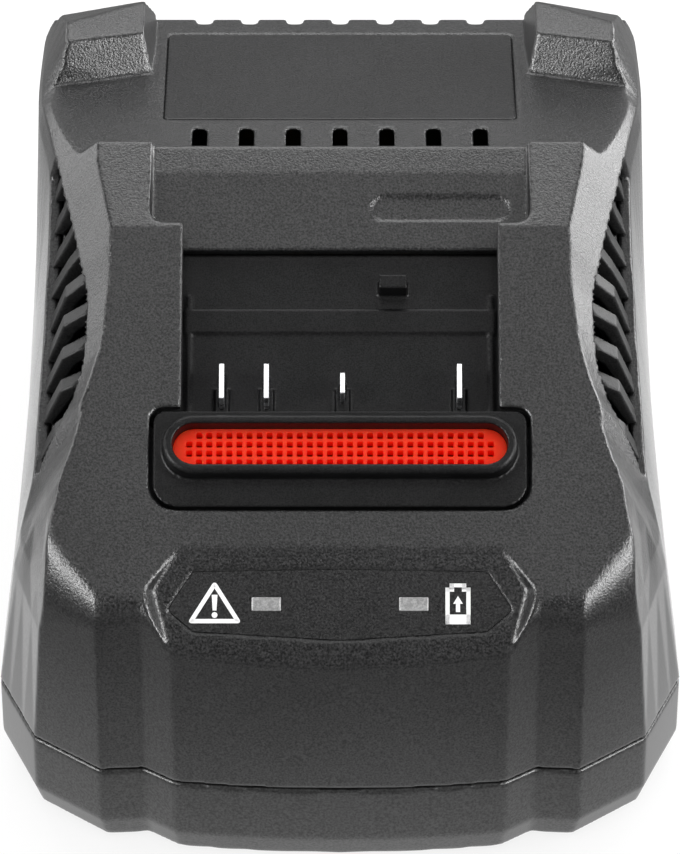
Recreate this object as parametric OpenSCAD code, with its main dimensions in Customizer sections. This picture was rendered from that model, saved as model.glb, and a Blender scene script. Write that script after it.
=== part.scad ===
// Power tool battery charger: a wedge-shaped mains charger for slide-on battery packs.
// The battery drops into the open well on the sloping top and slides towards the front,
// on to four contact blades; a fan inside blows through the red nozzle into the battery.
// Frame: X across, Y from front (-) to rear (+), Z up, standing on Z = 0.

/* [Casing] */
// Width of the casing over its widest corners
body_w = 137; // [133:1:150]
// Length of the casing from front to rear
body_l = 173; // [170:1:186]
// Wall thickness of both casing shells
wall = 2.6; // [2:0.1:3]
// Height of the joint between the shells
seam_z = 20.5; // [18:0.5:24]
// Width of the shadow gap between the shells
seam_gap = 0.4; // [0.3:0.1:0.6]
// Height of the slanted strip along the foot of the casing
foot_strip_h = 5.7; // [3:0.1:8]
// Depth of that strip's slant
foot_strip_in = 1.5; // [0.5:0.1:3]
// Radius of the casing's front top edge over the middle
lobe_r = 4.5; // [3:0.5:6]
// Radius of the two front shoulders
nose_r = 24; // [18:1:26]

/* [Sloping top] */
// Slope of the battery deck
deck_tilt = 29; // [27:0.5:31]
// Distance of the deck's upper end behind the front
deck_end = 77; // [75:0.5:79]
// Height of the deck's upper end
deck_end_z = 101.5; // [99:0.5:104]
// Slope of the top between the deck and the crest
crown_tilt = 13; // [11:0.5:15]
// Length of that part
crown_l = 21.2; // [19:0.2:23]
// Slope of the top behind the crest
back_tilt = 12; // [10:0.5:14]
// Height of the step behind the crest
crest_step = 4.1; // [3:0.1:5]
// Run of the rear wall's slope behind the top
rear_run = 13.8; // [11:0.1:16]

/* [Battery well] */
// Width of the well between the two arms
well_w = 62.2; // [60:0.2:64]
// Width of the battery's drop-in zone and of the rail grooves
drop_w = 75.2; // [73:0.2:77]
// Depth of the battery's landing below the deck
landing_d = 5.7; // [5:0.1:6.5]
// Length of the landing along the slope
landing_l = 16.3; // [14:0.1:18]
// Depth of the well's floor below the deck
floor_d = 7.6; // [7.2:0.1:8.6]
// Thickness of the arms' lips over the rail grooves
arm_lip_t = 2.6; // [2:0.1:3]
// Depth of the landing's low rear ridge below the crest
ridge_drop = 1.4; // [1:0.1:2]

/* [Contact holder] */
// Width of the holder's flange
flange_w = 73.4; // [71:0.2:75]
// Length of the flange along the slope
flange_l = 19.8; // [18:0.2:22]
// Distance from the deck's upper end to the flange
flange_v = 38.6; // [37:0.2:40]
// Thickness of the holder's walls
holder_t = 2; // [1.6:0.1:2.4]
// Shadow gap around the flange
flange_gap = 0.7; // [0.6:0.1:0.8]
// Width of the air nozzle
nozzle_w = 69.4; // [67:0.2:71]
// Width of the nozzle along the slope
nozzle_d = 12.2; // [11:0.2:13]
// Height of the nozzle over the deck
nozzle_h = 3.5; // [3:0.1:4.5]
// Thickness of the nozzle's wall
nozzle_t = 1.9; // [1.6:0.1:2.2]
// Depth of the red mesh below the nozzle's rim
mesh_d = 3.6; // [3:0.1:4.5]
// Thickness of the mesh
mesh_t = 3.2; // [2:0.1:4]
// Thickness of the contact blades
blade_t = 1; // [0.8:0.1:1.2]
// Length of the contact blades
blade_l = 7.4; // [6.5:0.1:8]
// Height of the contact blades over the floor
blade_h = 7; // [6:0.1:7.2]

/* [Vents] */
// Distance between the vents behind the crest
vent_pitch = 9.47; // [8.8:0.05:10]
// Width of each vent
vent_w = 3; // [2.4:0.1:3.4]
// Distance between the side louvres
louvre_pitch = 6.5; // [6:0.1:7]
// Thickness of each louvre
louvre_t = 3.7; // [3:0.1:4]

/* [Indicator panel] */
// Half width of the panel at its side points
panel_hw = 33.5; // [32:0.5:34]
// Lean of the front terrace that carries the panel, below the slope
terrace_tilt = 13; // [9:0.5:14]
// Thickness of the panel's film
film_t = 0.5; // [0.4:0.1:0.8]
// Width of each light window
lamp_w = 6; // [5:0.5:7]
// Height of each light window
lamp_h = 2.9; // [2:0.1:3.5]

/* [Name plate] */
// Half width of the bare plate
plate_hw = 35.8; // [34:0.2:36.4]
// Margin between the bare plate and the rear edge of the top
plate_margin = 6; // [4:0.5:9]
// Thickness of the plate
plate_t = 0.8; // [0.6:0.1:1]

/* [Fan] */
// Side of the square fan frame
fan_size = 40; // [38:1:42]
// Depth of the fan frame
fan_d = 10.5; // [10:0.5:12]
// Clearance between the rotor and the frame's bore
fan_clear = 0.6; // [0.5:0.1:0.9]
// Number of rotor blades
fan_blades = 7; // [5:1:9]

/* [Board and feet] */
// Thickness of the circuit board
board_t = 1.6; // [1.2:0.2:2]
// Height of the circuit board's underside
board_z = 11; // [10:0.5:13]
// Radius of the mains cord's hole in the gland
gland_r = 3.6; // [3.2:0.1:4]
// Height of the gland's collar outside the rear wall
gland_out = 4; // [3:0.5:6]
// Diameter of the rubber feet
foot_d = 12; // [10:0.5:14]
// Height of the feet below the casing
foot_h = 1; // [0.8:0.1:1.5]

/* [Hidden] */

$fn = 48;
eps = 0.01;
fit = 0.25;        // running and seating clearance between separate pieces
far = 200;         // longer than any cut needs

half_w = body_w / 2;
front = -(body_l + gland_out) / 2;
rear = front + body_l;
base_z = foot_h;

deck_y = front + deck_end;
crest_y = deck_y + crown_l;
back_l = body_l - deck_end - crown_l - rear_run;
crest_z = deck_end_z + crown_l * tan(crown_tilt);
step_z = crest_z - crest_step;
back_y = crest_y + back_l;
back_z = step_z - back_l * tan(back_tilt);

// ---------- curves through hand-set points ----------

function segment(t, s) = max([for (k = [0 : len(t) - 2]) if (k == 0 || t[k][0] <= s) k]);
function slope_at(t, k, c) =
    let (a = max(k - 1, 0), b = min(k + 1, len(t) - 1))
    (t[b][c] - t[a][c]) / (t[b][0] - t[a][0]);
// Smooth curve through column c of table t at station s
function smooth(t, s, c) =
    let (k = segment(t, s), w = t[k + 1][0] - t[k][0],
         u = min(max((s - t[k][0]) / w, 0), 1),
         p = t[k][c], q = t[k + 1][c], m = slope_at(t, k, c) * w, n = slope_at(t, k + 1, c) * w)
    p * (2 * pow(u, 3) - 3 * pow(u, 2) + 1) + m * (pow(u, 3) - 2 * pow(u, 2) + u)
        + q * (3 * pow(u, 2) - 2 * pow(u, 3)) + n * (pow(u, 3) - pow(u, 2));
// Straight runs through column c of table t at station s
function straight(t, s, c) = lookup(s, [for (r = t) [r[0], r[c]]]);

// ---------- plan of the front, from the middle outwards: [x, distance behind the front] ----------

lobe_hw = 32.7;      // flat half width of the middle lobe
lobe_bevel = 6.3;    // width of the lobe's slanted sides
corner_in = 21;      // inset of each corner lobe's inner edge from the casing's side
FRONT_PLAN = [
    [0, 0], [11, 0.25], [22, 0.95], [lobe_hw, 2.1], [lobe_hw + lobe_bevel, 6], [half_w - corner_in, 5.4],
    [half_w - 7.4, 14.8], [half_w, 31.2], [half_w + 5, 42]
];
// Radius of the front top edge: [x, radius]
FRONT_EDGE_R = [
    [0, lobe_r], [lobe_hw, lobe_r], [lobe_hw + lobe_bevel, 6], [half_w - corner_in - 2, 7],
    [half_w - 14, nose_r * 0.7], [half_w - 9, nose_r], [half_w + 5, nose_r]
];
WALL_LEAN = 2;       // lean of the front wall, in degrees

// ---------- section of the flank at each station: [distance behind the front, inset, height] ----------

// Side of the casing at the seam
SILL = [[-8, 17], [14.8, 7.4], [31.2, 0], [46, 0.3], [66, 1.3], [86, 2], [111, 2.4], [190, 2.4]];
// Side of the casing at the height mid_z
mid_z = 50;
MID = [[-8, 17], [14.6, 9.3], [33.5, 3.7], [51, 4.1], [78, 4.7], [106, 5], [136, 4.3], [190, 3.4]];
// Lower edge of the louvred eye, and the edge that continues it
EDGE_LOW = [
    [-8, 19, 57], [14.5, 10.3, 57], [26.5, 7.5, 57], [31, 6, 57], [36.5, 5.1, 57],
    [41.2, 7.4, 65], [46.5, 8, 67.5], [52.5, 8.3, 70.9], [59.5, 8.6, 73.5], [66.5, 8.9, 76.1],
    [73, 9.2, 78.5], [79.5, 9.3, 81.7], [86.5, 9.6, 84.6], [94.5, 9.7, 88.5], [103.5, 9.6, 92.5],
    [120, 7, 91], [128, 6.3, 88], [141, 5.9, 86], [172, 5.9, 76], [190, 6.5, 70]
];
// Ridge line along the louvres
EDGE_KINK = [
    [-8, 20, 64], [14.5, 11.3, 64], [26.5, 9.5, 64.5], [31, 8.5, 64], [36.5, 8, 63.5],
    [41.2, 8.1, 66.2], [43.3, 9.3, 70], [45.2, 10.4, 73], [47.6, 11.2, 75.2], [52.5, 12, 79.7],
    [59.5, 12.3, 82.9], [66.5, 12.4, 86], [73, 12.6, 88], [79.5, 12.9, 89.4], [86.5, 12.9, 91.5],
    [94.5, 11.8, 94], [103.5, 10.3, 95.5], [120, 7.8, 94.5], [128, 6.8, 90.5], [141, 6.5, 88.5],
    [172, 6.5, 79], [190, 7, 73]
];
// Lower edge of the sloping band, which is the eye's upper edge
EDGE_BAND = [
    [-8, 21, 70], [14.5, 12.1, 70], [26.5, 11.3, 70], [31, 10.9, 70], [36.5, 11, 70],
    [41.2, 8.9, 67.5], [43.3, 10.3, 71.4], [45.2, 12.4, 75.5], [47.6, 14.6, 78.8], [51.2, 16.6, 82],
    [55.5, 17.7, 84.5], [61.5, 18.1, 88], [67.9, 18.3, 91], [74.3, 16.9, 93], [85.9, 14.5, 95.5],
    [94.5, 12.5, 97], [105.2, 10.6, 98], [120, 8, 96], [128, 7.1, 92.5], [141, 7, 91],
    [172, 7.5, 82], [190, 8, 76]
];
// Slope of the band
BAND_TILT = [
    [-8, 78], [14.5, 76], [26.5, 68], [36.5, 62], [45.5, 57], [53.5, 55], [61.5, 50],
    [95, 49], [100, 47], [116, 47], [128, 50], [134, 62], [141, 66], [172, 70], [190, 70]
];
crown_top = 125;     // above everything: where the flank's section is closed

// ---------- casing ----------

// Front edge of the top: an arc that is tangent to the leaning wall and to the deck, as [y, z]
function deck_z(y) = deck_end_z + (y - deck_y) * tan(deck_tilt);
function front_arc(x, t) =
    let (r = max(straight(FRONT_EDGE_R, abs(x), 1) - t, 1),
         y0 = front + straight(FRONT_PLAN, abs(x), 1) + t,
         drop = t / cos(deck_tilt),
         // the wall's line and the deck's line meet here
         cy = (y0 + (deck_z(0) - drop - seam_z) * tan(WALL_LEAN)) / (1 - tan(WALL_LEAN) * tan(deck_tilt)),
         cz = deck_z(cy) - drop,
         half = (90 - WALL_LEAN - deck_tilt) / 2,
         back = r * tan(half),
         ay = cy + back * cos(deck_tilt) + r * sin(deck_tilt),
         az = cz + back * sin(deck_tilt) - r * cos(deck_tilt))
    [for (i = [0 : 8])
        let (a = 180 - WALL_LEAN - i / 8 * 2 * half)
        [ay + r * cos(a), az + r * sin(a)]];

below_seam = 3;      // the walls' slants start this far under the seam
// Side view of the casing at one distance from the middle, inset by t
function profile(x, t) =
    let (y0 = front + straight(FRONT_PLAN, abs(x), 1) + t, e = t / cos(crown_tilt))
    concat(
        [[y0 + foot_strip_in, base_z + t], [y0, base_z + max(foot_strip_h, t + 1)], [y0 - below_seam * tan(WALL_LEAN), seam_z - below_seam]],
        front_arc(x, t),
        [
            [deck_y + t * 0.3, deck_end_z - e], [crest_y, crest_z - e - (t > 0 ? t * 0.4 : 0)],
            [crest_y + 0.7, step_z - e], [back_y - t * 0.5, back_z - e],
            [back_y + 6 - t, back_z - 10], [rear - t, mid_z], [rear - t, seam_z - below_seam],
            [rear - t, base_z + max(foot_strip_h, t + 1)], [rear - t - foot_strip_in, base_z + t]
        ]);

// Stations across the casing, closer together where the front turns
ACROSS = [
    0, 11, 22, lobe_hw, lobe_hw + 2.1, lobe_hw + 4.2, lobe_hw + lobe_bevel, lobe_hw + lobe_bevel + 4,
    half_w - corner_in, half_w - 18.5, half_w - 16, half_w - 14, half_w - 11.5, half_w - 9,
    half_w - 7.4, half_w - 4, half_w, half_w + 5
];
function both_ways(v) = concat(v, [for (i = [len(v) - 1 : -1 : 0]) [-v[i][0], v[i][1]]]);
function both_sides(v) = concat([for (i = [len(v) - 1 : -1 : 1]) -v[i]], v);

// A point moved to the nearest hundredth of a millimetre each way
function on_grid(p) = [for (v = p) round(v * 100) / 100];
// Closed surface through rings of equally many points; its quads are split alike on both sides of the middle.
// With hubs, each end is closed by triangles round a point on the Z axis.
module skin(rings, flip, hubs = false) {
    n = len(rings[0]);
    m = len(rings);
    sides = [for (j = [0 : m - 2]) for (i = [0 : n - 1])
        let (a = j * n + i, b = j * n + (i + 1) % n, c = b + n, d = a + n,
             lean = (rings[j][i][0] + rings[j + 1][(i + 1) % n][0] > 0) != (rings[j][i][2] < rings[j + 1][i][2]))
        each (lean ? [[a, b, c], [a, c, d]] : [[a, b, d], [b, c, d]])];
    ends = hubs
        ? [for (i = [0 : n - 1]) each [[(i + 1) % n, i, m * n], [(m - 1) * n + i, (m - 1) * n + (i + 1) % n, m * n + 1]]]
        : [[for (i = [n - 1 : -1 : 0]) i], [for (i = [0 : n - 1]) (m - 1) * n + i]];
    faces = concat(sides, ends);
    turned = [for (f = faces) [for (i = [len(f) - 1 : -1 : 0]) f[i]]];
    middles = hubs ? [[0, 0, rings[0][0][2]], [0, 0, rings[m - 1][0][2]]] : [];
    polyhedron(points = [for (p = concat([for (r = rings) each r], middles)) on_grid(p)], faces = flip ? turned : faces,
        convexity = 10);
}

// Every second entry of a list, with its ends
function thinned(v) = [for (i = [0 : len(v) - 1]) if (i % 2 == 0 || i == len(v) - 1) v[i]];

module lengthwise_form(t) {
    xs = both_sides(t > 0 ? thinned(ACROSS) : ACROSS);
    skin([for (x = xs) [for (p = profile(x, t)) [x, p[0], p[1]]]], false);
}

// Outline of the flank at one station, as [x, z] of the right-hand side from the foot up
function flank(d, t) =
    let (side = half_w - t, sill = side - straight(SILL, d, 1), mid = side - straight(MID, d, 1),
         u = [side - smooth(EDGE_BAND, d, 1), smooth(EDGE_BAND, d, 2)],
         b = smooth(BAND_TILT, d, 1))
    [
        [sill - foot_strip_in, base_z],
        [sill, base_z + foot_strip_h],
        [sill + (sill - mid) * below_seam / (mid_z - seam_z), seam_z - below_seam],
        [mid, mid_z],
        [side - smooth(EDGE_LOW, d, 1), smooth(EDGE_LOW, d, 2)],
        [side - smooth(EDGE_KINK, d, 1), smooth(EDGE_KINK, d, 2)],
        u,
        [max(u[0] - (crown_top - u[1]) / tan(b), 5), crown_top]
    ];
FLANK_STATIONS = concat(
    [-8, 4, 14.5, 20, 26.5, 31.2, 34, 36.5, 39, 41.2, 43.3, 45.2, 47.6, 49.5, 51.5, 54, 57, 60, 63, 66.5],
    [for (d = [70 : 4 : 126]) d], [129, 132, 135, 138, 142, 150, 160, 172, 190]);

module crosswise_form(t) {
    skin([for (d = t > 0 ? thinned(FLANK_STATIONS) : FLANK_STATIONS)
        let (s = flank(d, t), n = len(s))
        concat([for (p = s) [p[0], front + d, p[1]]],
            [for (i = [n - 1 : -1 : 0]) [-s[i][0], front + d, s[i][1]]])], false);
}

module casing_form(t = 0) {
    intersection() {
        lengthwise_form(t);
        crosswise_form(t);
    }
}

// Frame of the sloping deck: X across, Y up the slope from the deck's upper end, Z out of the deck
module on_deck() translate([0, deck_y, deck_end_z]) rotate([deck_tilt, 0, 0]) children();
// Frame of the top behind the crest, Y down the slope towards the rear
module on_back() translate([0, crest_y, step_z]) rotate([-back_tilt, 0, 0]) children();

module stadium(w, d) {
    hull() for (s = [-1, 1]) translate([s * (w - d) / 2, 0]) circle(d = d, $fn = 32);
}
module round_rect(w, l, r_near, r_far) {
    hull() {
        for (s = [-1, 1]) translate([s * (w / 2 - r_far), l / 2 - r_far]) circle(r_far, $fn = 24);
        for (s = [-1, 1]) translate([s * (w / 2 - r_near), -l / 2 + r_near]) circle(r_near, $fn = 24);
    }
}
module above(z) translate([-far / 2, -far / 2, z]) cube([far, far, far]);
module below(z) translate([-far / 2, -far / 2, z - far]) cube([far, far, far]);

// ---------- horns beside the name plate ----------

horn_in = 38.4;      // distance of the horns' inner feet from the middle
horn_top = 103;      // height of the horns
horn_run = 20.1;     // inner front edge of the horns' top, before the rear edge of the top
horn_l = 10.6;       // length of the horns' top at its inner edge
horn_root = 58.3;    // height inside the casing where the horns' sides end
module horn(t = 0) {
    out = half_w + 2;
    y0 = back_y - horn_run;
    e = 0.4;
    hull() {
        translate([horn_in + 2.1 + t, y0 + t, horn_top - 1.5 - t - e]) cube([e, horn_l - 2 * t, e]);
        translate([out, y0 - 9 + t, horn_top + 1.1 - t - e]) cube([e, max(2.5 - t, e), e]);
        translate([horn_in + t, y0 - 6.3 + t, back_z + 3 - e]) cube([e, back_y - y0 + 4.3 - 2 * t, e]);
        translate([out, y0 - 16 + t, back_z + 3 - e]) cube([e, back_y - y0 + 10 - 2 * t, e]);
        translate([horn_in + t, y0 - 5 + t, horn_root]) cube([e, rear - y0 + 2 - 2 * t, e]);
        translate([out, y0 - 14 + t, horn_root]) cube([e, rear - y0 + 10 - 2 * t, e]);
    }
}
module horned_form(t = 0) {
    intersection() {
        crosswise_form(t);
        union() {
            lengthwise_form(t);
            for (s = [0, 1]) mirror([s, 0, 0]) horn(t);
        }
    }
}

// ---------- battery well ----------

landing_front = -2.9;            // lower end of the landing, along the slope
shoulder_v = 1.2;                // where the arms begin, along the slope
groove_w = drop_w;               // width over both rail grooves
landing_end = shoulder_v + 3 + landing_l;

// Extrudes a section, given as [along the slope, out of the deck], across the middle
module across(h) rotate([90, 0, 90]) translate([0, 0, -h]) linear_extrude(2 * h) children();

// A point of the whole, given as [y, z], as [along the slope, out of the deck]
function in_deck(p) =
    [(p[0] - deck_y) * cos(deck_tilt) + (p[1] - deck_end_z) * sin(deck_tilt),
     (p[1] - deck_end_z) * cos(deck_tilt) - (p[0] - deck_y) * sin(deck_tilt)];
// Low ridge behind the landing: its slope starts where it meets the landing's plane
ridge_top = in_deck([crest_y + 2, crest_z - ridge_drop + 2 * tan(crown_tilt)]);
ridge_tilt = 15.5;                         // its slope
ridge_run = (ridge_top[1] + landing_d) / tan(deck_tilt - ridge_tilt);
flange_top = -0.4;                         // upper face of the holder's flange
seat_w = flange_top - holder_t - 0.05;     // ledge under it
// Room for the battery and its foot: the rail grooves over the open floor, the landing and the cut down to
// its ridge, then the well between the arms with the drop-in zone above the landing
module well_space() {
    on_deck() {
        across(groove_w / 2) polygon([
            [-flange_v - wall - 0.1, -far / 2], [landing_front, -far / 2], [landing_front, -landing_d],
            [ridge_top[0] + ridge_run, -landing_d], ridge_top, ridge_top + [0, 6], [shoulder_v + 2, -arm_lip_t],
            [-flange_v + flange_gap + 0.3, -arm_lip_t], [-flange_v + flange_gap + 0.3, seat_w + 0.4],
            [-flange_v - wall - 0.1, seat_w + 0.4]
        ]);
        translate([0, 0, -arm_lip_t - 1]) linear_extrude(far) polygon(both_ways([
            [well_w / 2, -flange_v], [well_w / 2, shoulder_v],
            for (i = [0 : 6]) [drop_w / 2 - 2.8 + 3 * sin(i * 15), shoulder_v + 3 - 3 * cos(i * 15)],
            [drop_w / 2 + 0.2, landing_end]
        ]));
    }
}
// The casing is solid this far around that room
module well_block() {
    on_deck() across(groove_w / 2 + wall) polygon([
        [-flange_v - wall, -landing_d - wall], [landing_end + wall, -landing_d - wall],
        [landing_end + wall, 20], [-flange_v - wall, 20]
    ]);
}
// Seat of the contact holder: a sunken ledge for its flange and a hole for the nozzle
module holder_seat() {
    on_deck() {
        translate([0, -flange_v - flange_l / 2, seat_w])
            linear_extrude(far) round_rect(flange_w + 2 * flange_gap, flange_l + 2 * flange_gap, 5.5, 3);
        translate([0, nozzle_v, -far / 2]) linear_extrude(far)
            stadium(nozzle_w + 2 * fit + 0.4, nozzle_d + 2 * fit + 0.4);
    }
}

terrace_hw = 30;     // half width of the panel's terrace along its upper edge
terrace_v = -66.6;   // upper edge of the terrace, along the slope
module on_terrace() on_deck() translate([0, terrace_v, 0]) rotate([terrace_tilt, 0, 0]) children();
module terrace() {
    on_terrace() hull() {
        linear_extrude(eps) terrace_outline(0);
        translate([0, 0, 8]) linear_extrude(eps) terrace_outline(6);
    }
}
module terrace_outline(g) {
    polygon([
        [-terrace_hw - g, 2], [terrace_hw + g, 2], [terrace_hw + 6.5 + g, -8.6],
        [terrace_hw + 0.3 + g, -20.4], [terrace_hw + 0.3 + g, -32], [-terrace_hw - 0.3 - g, -32],
        [-terrace_hw - 0.3 - g, -20.4], [-terrace_hw - 6.5 - g, -8.6]
    ]);
}

// ---------- louvred eyes ----------

eye_front = 41.6;    // tips of the eye, behind the front
eye_rear = 103;
function eye_upper() = [for (i = [0 : 16])
    let (d = eye_front + (eye_rear - eye_front) * i / 16) [front + d, smooth(EDGE_BAND, d, 2)]];
function eye_lower() = [for (i = [16 : -1 : 0])
    let (d = eye_front + (eye_rear - eye_front) * i / 16) [front + d, smooth(EDGE_LOW, d, 2)]];
eye_rim = 0.3;       // width of the casing's rim around the opening
module eye_opening() {
    rotate([90, 0, 90]) translate([0, 0, half_w - 26]) linear_extrude(far)
        offset(delta = -eye_rim) polygon(concat(eye_upper(), eye_lower()));
}

// ---------- top shell ----------

back_gap = 0.7;      // width of the gap lines beside the name plate's block
plate_v = 16;        // distance of the plate behind the crest
plate_l = back_l - plate_v - plate_margin;
vent_cut_l = 11.4;   // length of the vents behind the crest
vent_lean = 28;      // slope of their rear walls, which lean back under the top
pill_w = 28;         // bare mark recess on the landing
module vents() {
    for (i = [-3 : 3]) {
        on_back() translate([i * vent_pitch, 0, 0]) across(vent_w / 2) polygon([
            [0.9, -20], [0.9, 10], [vent_cut_l, 10], [vent_cut_l, 0], [vent_cut_l + 20 / tan(vent_lean), -20]
        ]);
        translate([i * vent_pitch - vent_w / 2 - 0.1, back_y - 2, back_z - 18]) cube([vent_w + 0.2, far, 30]);
    }
}
module gap_lines() {
    for (s = [-1, 1]) on_back() translate([s * (horn_in - 0.2) - back_gap / 2, 0.6, -1]) cube([back_gap, back_l - 1, 10]);
}
boss_x = 52;         // places of the four case screws
boss_front = 34;
boss_rear = 138;
screw_r = 1.6;
boss_over = 4;       // the bosses of the two shells meet this far above the seam
module at_case_screws() for (s = [-1, 1]) for (d = [boss_front, boss_rear]) translate([s * boss_x, front + d, 0]) children();

module top_shell() {
    color("#3f3f41") difference() {
        union() {
            difference() {
                intersection() {
                    horned_form();
                    above(seam_z + seam_gap / 2);
                }
                difference() {
                    horned_form(wall);
                    intersection() {
                        union() {
                            well_block();
                            on_deck() translate([-flange_w / 2 - wall - 2, -flange_v - flange_l - wall - 1, -floor_d])
                                cube([flange_w + 2 * wall + 4, flange_l + wall + 2, 20]);
                            // thicker under the sunken indicator panel
                            on_terrace() translate([-terrace_hw - 12, -24, -film_t - wall + 0.4])
                                cube([2 * terrace_hw + 24, 24, 20]);
                        }
                        casing_form(wall - 0.5);
                    }
                }
            }
            intersection() {
                at_case_screws() translate([0, 0, seam_z]) cylinder(r = 4, h = far, $fn = 24);
                horned_form(wall - 0.5);
                above(seam_z + boss_over);
            }
            on_terrace() at_panel_posts() {
                translate([0, 0, panel_board_w + board_t]) cylinder(r = 2.2, h = guide_l + led_h - wall, $fn = 24);
                translate([0, 0, panel_board_w - 0.8]) cylinder(r = 1, h = 4, $fn = 16);
            }
        }
        well_space();
        holder_seat();
        // room for the lower shell's tongue
        translate([0, 0, seam_z - 1]) linear_extrude(1 + lip_h + 0.5) plan(wall - 0.05);
        terrace();
        vents();
        gap_lines();
        plate_recess(fit);
        panel_recess(fit);
        lamp_holes(fit);
        for (s = [0, 1]) mirror([s, 0, 0]) eye_opening();
        at_case_screws() translate([0, 0, seam_z - 1]) cylinder(r = screw_r - 0.2, h = 16, $fn = 24);
        on_deck() holder_screw_places() translate([0, 0, ear_w - 0.5]) cylinder(r = 1.2, h = fit + screw_bite + 0.7, $fn = 16);
        on_deck() translate([20, 6, -landing_d - 0.5]) linear_extrude(5) stadium(pill_w, 5.4);
    }
}

// ---------- bottom shell ----------

lip_h = 3;           // height of the tongue inside the top shell
lip_t = 1.4;
floor_z = base_z + wall;
// Right-hand half of the casing's plan at the seam, from the front middle to the rear, as [x, y]
PLAN_HALF = concat(
    [for (p = FRONT_PLAN) if (p[0] < half_w - 1) [p[0], front + p[1]]],
    [for (r = SILL) if (r[0] > 30 && r[0] < body_l) [half_w - r[1], front + r[0]]],
    [[half_w - straight(SILL, body_l, 1), rear]]);
PLAN = concat(PLAN_HALF, [for (i = [len(PLAN_HALF) - 1 : -1 : 1]) [-PLAN_HALF[i][0], PLAN_HALF[i][1]]]);
module plan(t) offset(delta = -t) polygon(PLAN);
// Tray of the lower shell, slanted in along its foot
module tray() {
    in_x = 1 - foot_strip_in / half_w;
    skin([
        for (r = [[base_z, in_x, foot_strip_in], [base_z + foot_strip_h, 1, 0], [seam_z - seam_gap / 2, 1, 0]])
            [for (p = PLAN) [p[0] * r[1], p[1] + (p[1] < front + body_l / 4 ? r[2] : p[1] > rear - 1 ? -r[2] : 0), r[0]]]
    ], true, true);
}
module bottom_shell() {
    color("#39393b") difference() {
        union() {
            // tray with a rib along its wall, and the tongue on it that centres the top shell
            difference() {
                union() {
                    tray();
                    translate([0, 0, seam_z - 2]) linear_extrude(2 + lip_h) plan(wall + fit);
                }
                translate([0, 0, floor_z]) linear_extrude(seam_z - 4 - floor_z) plan(wall);
                translate([0, 0, floor_z + 1]) linear_extrude(far) plan(wall + fit + lip_t);
            }
            at_case_screws() translate([0, 0, floor_z - 0.5])
                cylinder(r = 4.5, h = seam_z + boss_over - floor_z + 0.5, $fn = 24);
            at_board_posts() translate([0, 0, floor_z - 0.5]) cylinder(r = 3, h = board_z - floor_z + 0.5, $fn = 24);
        }
        at_case_screws() {
            translate([0, 0, base_z - 1]) cylinder(r = 3.4, h = 9, $fn = 24);
            translate([0, 0, base_z]) cylinder(r = screw_r + 0.2, h = 30, $fn = 24);
        }
        at_board_posts() translate([0, 0, board_z - 6]) cylinder(r = board_screw_r + 0.05, h = 10, $fn = 24);
        at_feet() translate([0, 0, base_z - 1]) cylinder(d = foot_d + 2 * fit, h = foot_seat + 1, $fn = 32);
        gland_hole();
        for (i = [-3 : 3]) translate([i * 8 - 1.5, front + 84, base_z - 1]) cube([3, 30, wall + 2]);
    }
}

// ---------- contact holder ----------

nozzle_v = -46.6;                      // middle of the nozzle, along the slope
spigot_l = 12;                         // reach of the nozzle's spigot below the flange
code_x = 10.5;                         // coding post
BLADES = [                             // place, height over the floor and length of each blade
    [-23.3, blade_h, blade_l], [-14.5, blade_h, blade_l], [0.5, blade_h - 1.2, blade_l - 3], [23.5, blade_h, blade_l]
];
blade_v = -32.3;                       // middle of the blades, along the slope
band_v = -19.9;                        // low band across the floor
pin_l = 5;                             // reach of the blades' pins below the holder
post_v = -10.4;
ear_w = -landing_d - wall - fit;       // upper face of the ears under the landing
screw_bite = 1.1;                      // reach of the holder's screws into the landing
module holder_screw_places() for (s = [-1, 1]) translate([s * 27.5, 3, 0]) children();

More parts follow.
